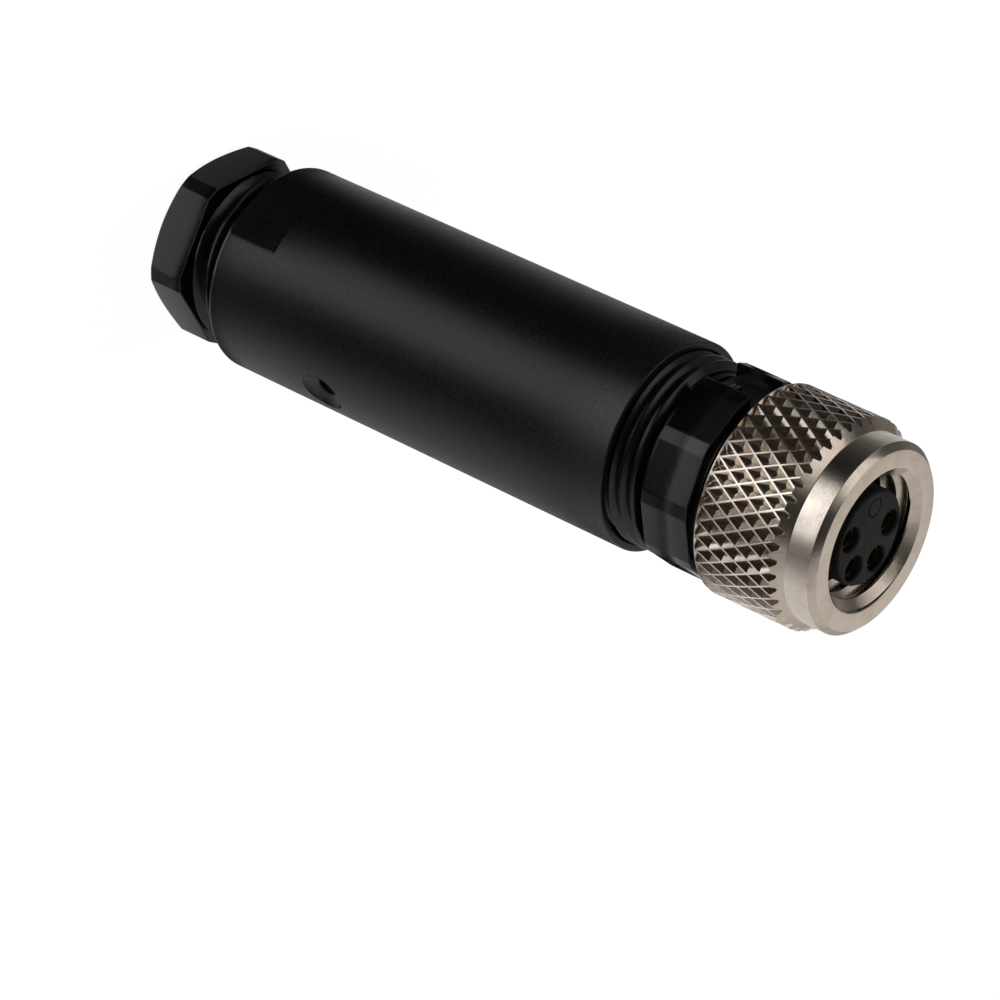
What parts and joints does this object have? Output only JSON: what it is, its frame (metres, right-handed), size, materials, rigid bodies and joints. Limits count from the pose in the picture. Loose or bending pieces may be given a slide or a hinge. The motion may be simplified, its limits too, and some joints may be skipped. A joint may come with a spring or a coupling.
{
  "type": "circular sensor connector",
  "caption": "Straight female circular sensor connector with a knurled coupling nut, a screwed collar with screw-clamp contacts, a long black barrel and a cable gland.",
  "frame": {"origin": "centre of the gland nut's flat rear face, the lowest face as it stands upright", "axes": "+Z along the connector's axis from the cable end to the mating face; the slotted side of the collar lies near azimuth -150 degrees from +X, and contact 1 at -74.5"},
  "size_m": [0.012, 0.012, 0.0469],
  "materials": {
    "black_plastic": "moulded black polyamide, fine grain",
    "insert_plastic": "smooth moulded black plastic",
    "cage_plastic": "moulded dark plastic",
    "nickel_brass": "nickel plated",
    "contact_brass": "gold plated",
    "screw_steel": "zinc plated",
    "seal_rubber": "soft matt rubber"
  },
  "bodies": {
    "barrel_body": {"barrel": "black_plastic", "cable_seal": "seal_rubber"},
    "cage_body": {"clamp_cage": "cage_plastic"},
    "gland_nut_body": {"gland_nut": "black_plastic"},
    "ring_body": {"front_o_ring": "seal_rubber"},
    "insert_body": {"threaded_collar": "black_plastic", "contact_insert": "insert_plastic", "terminal_block": "insert_plastic", "face_seal": "seal_rubber", "contact_1": "contact_brass", "contact_2": "contact_brass", "contact_3": "contact_brass", "contact_4": "contact_brass"},
    "coupling_nut_body": {"coupling_nut": "nickel_brass"},
    "screw_1_body": {"terminal_screw_1": "screw_steel"},
    "screw_2_body": {"terminal_screw_2": "screw_steel"},
    "screw_3_body": {"terminal_screw_3": "screw_steel"},
    "screw_4_body": {"terminal_screw_4": "screw_steel"}
  },
  "joints": [
    {"name": "gland_travel", "type": "slide", "parent": "barrel_body", "child": "cage_body", "axis": [0, 0, 1], "range_m": [-0.0025, 0.0015]},
    {"name": "gland_turn", "type": "hinge", "parent": "cage_body", "child": "gland_nut_body", "pos_m": [0, 0, 0.0027], "axis": [0, 0, 1], "range_deg": [-900, 540]},
    {"name": "collar_travel", "type": "slide", "parent": "barrel_body", "child": "ring_body", "axis": [0, 0, 1], "range_m": [-0.00225, 0.003]},
    {"name": "collar_turn", "type": "hinge", "parent": "ring_body", "child": "insert_body", "pos_m": [0, 0, 0.0359], "axis": [0, 0, 1], "range_deg": [-1080, 1440]},
    {"name": "nut_turn", "type": "hinge", "parent": "insert_body", "child": "coupling_nut_body", "pos_m": [0, 0, 0.0396], "axis": [0, 0, 1], "continuous": true},
    {"name": "screw_1_travel", "type": "slide", "parent": "insert_body", "child": "screw_1_body", "axis": [-0.2672, 0.9636, 0], "range_m": [-0.0003, 0.0009]},
    {"name": "screw_2_travel", "type": "slide", "parent": "insert_body", "child": "screw_2_body", "axis": [-0.9962, 0.0872, 0], "range_m": [-0.0003, 0.0009]},
    {"name": "screw_3_travel", "type": "slide", "parent": "insert_body", "child": "screw_3_body", "axis": [-0.454, -0.891, 0], "range_m": [-0.0003, 0.0009]},
    {"name": "screw_4_travel", "type": "slide", "parent": "insert_body", "child": "screw_4_body", "axis": [0.6756, -0.7373, 0], "range_m": [-0.0003, 0.0009]}
  ],
  "couplings": [
    {"joint": "gland_turn", "follows": "gland_travel", "rad_per_m": 6283.1},
    {"joint": "collar_turn", "follows": "collar_travel", "rad_per_m": 8377.5}
  ]
}
